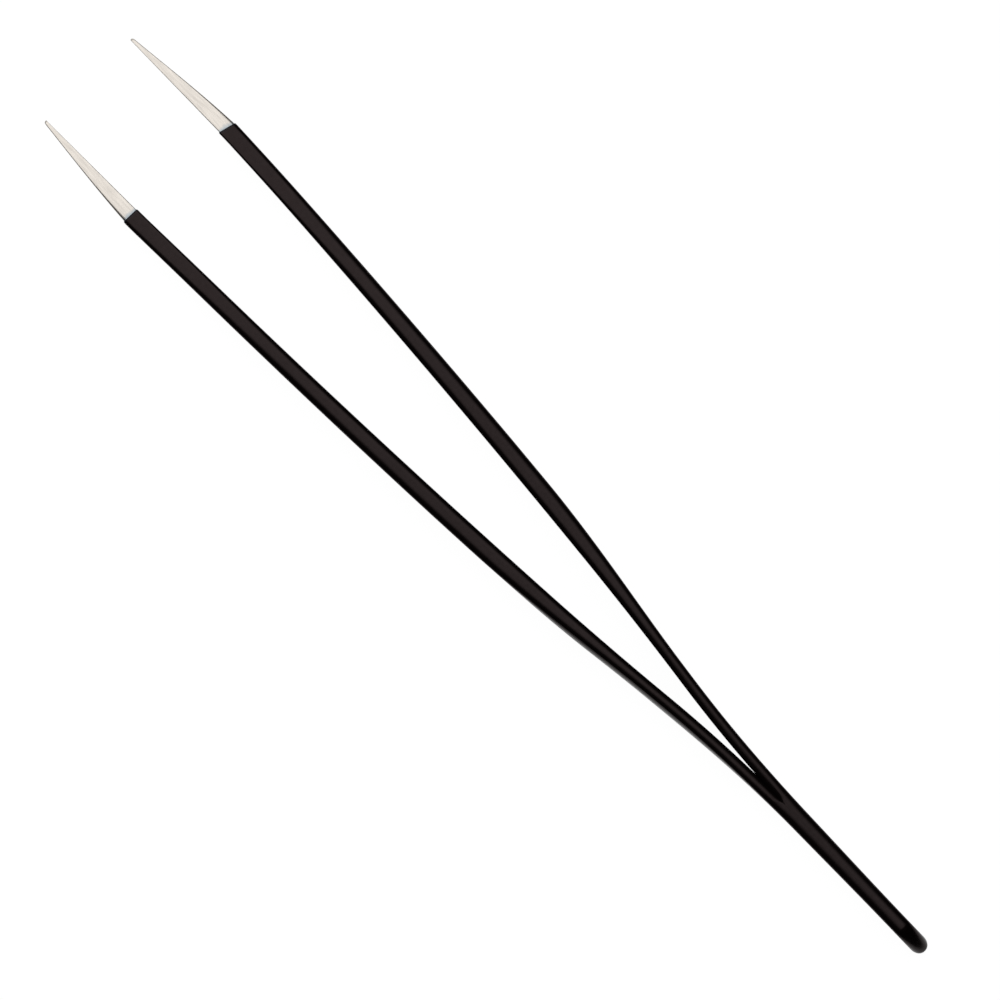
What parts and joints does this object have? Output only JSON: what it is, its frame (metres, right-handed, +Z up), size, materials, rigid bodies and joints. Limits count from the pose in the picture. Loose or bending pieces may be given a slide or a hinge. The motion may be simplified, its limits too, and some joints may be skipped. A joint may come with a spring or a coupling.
{
  "type": "pointed tweezers",
  "caption": "Slim straight pointed tweezers with two bowed spring arms welded at the rear, a black antistatic coat and bare steel tips, lying on edge.",
  "frame": {"origin": "middle of the overall box on the surface under it, as the tweezers lie on edge", "axes": "+X from the rear end to the tips, +Y across the two arms in the way they open, +Z up across the width of the arms"},
  "size_m": [0.14, 0.0172, 0.0097],
  "materials": {
    "steel": "finely ground, satin",
    "coating": "smooth baked coat, low satin sheen"
  },
  "bodies": {
    "root": {"arm_left": "steel", "arm_right": "steel", "grip_coating": "coating"}
  },
  "joints": []
}
